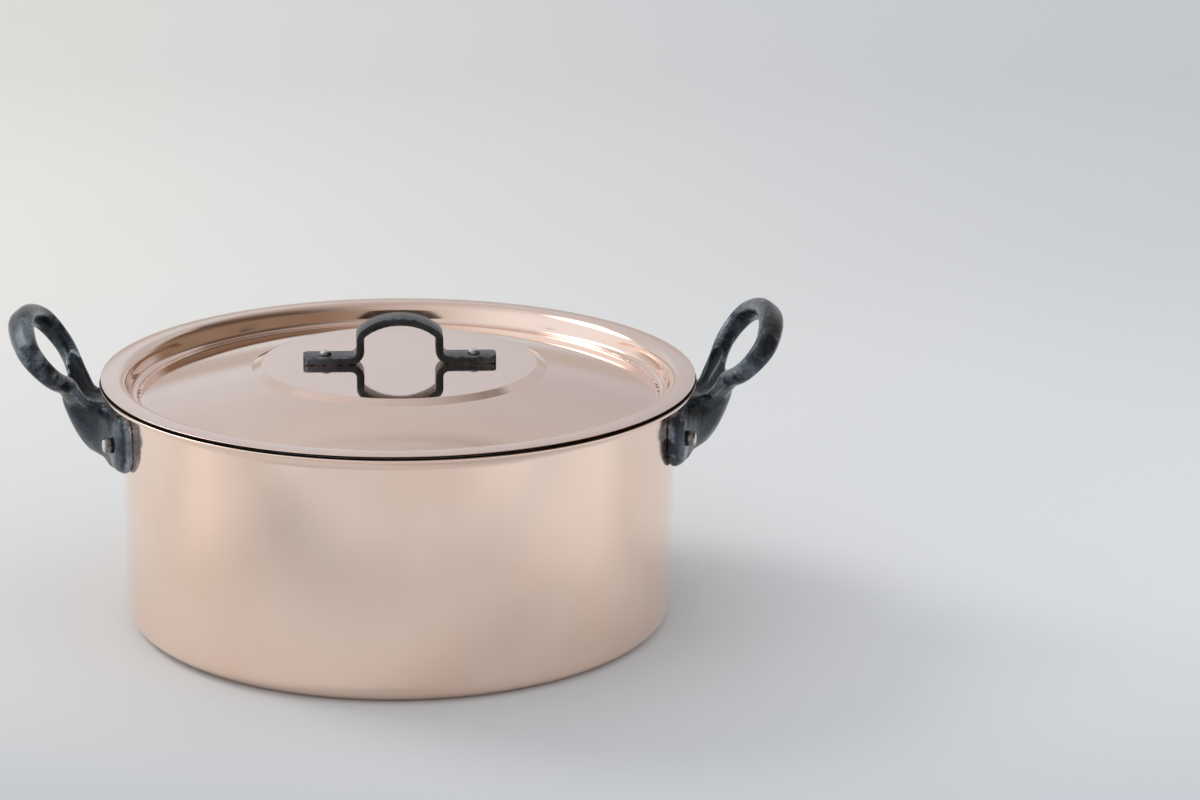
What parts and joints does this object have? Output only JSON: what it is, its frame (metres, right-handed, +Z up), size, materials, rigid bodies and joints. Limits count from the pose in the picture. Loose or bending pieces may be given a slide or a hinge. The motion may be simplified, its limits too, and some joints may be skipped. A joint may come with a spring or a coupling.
{
  "type": "stewpot",
  "caption": "Round copper stewpot with raised cast-iron loop handles at its sides and a loose copper lid with a black iron strap handle.",
  "frame": {"origin": "middle of the underside of the base, on the surface the pot stands on", "axes": "+Z up along the pot's axis; +X runs from the middle through the right-hand side handle; +Y away from the viewer, across the handles"},
  "size_m": [0.3952, 0.3058, 0.163],
  "materials": {
    "copper": "polished",
    "stainless": "satin",
    "cast_iron": "waxed casting skin",
    "black_iron": "smooth black",
    "rivet_steel": "as set"
  },
  "bodies": {
    "pot": {"pot_shell": "copper", "pot_lining": "stainless", "left_handle": "cast_iron", "right_handle": "cast_iron", "left_front_rivet": "rivet_steel", "left_rear_rivet": "rivet_steel", "right_front_rivet": "rivet_steel", "right_rear_rivet": "rivet_steel"},
    "lid": {"lid_shell": "copper", "lid_lining": "stainless", "lid_handle": "black_iron", "lid_left_rivet": "rivet_steel", "lid_right_rivet": "rivet_steel"}
  },
  "joints": [
    {"name": "lid_lift", "type": "slide", "parent": "pot", "child": "lid", "axis": [0, 0, 1], "range_m": [0, 0.1]}
  ]
}
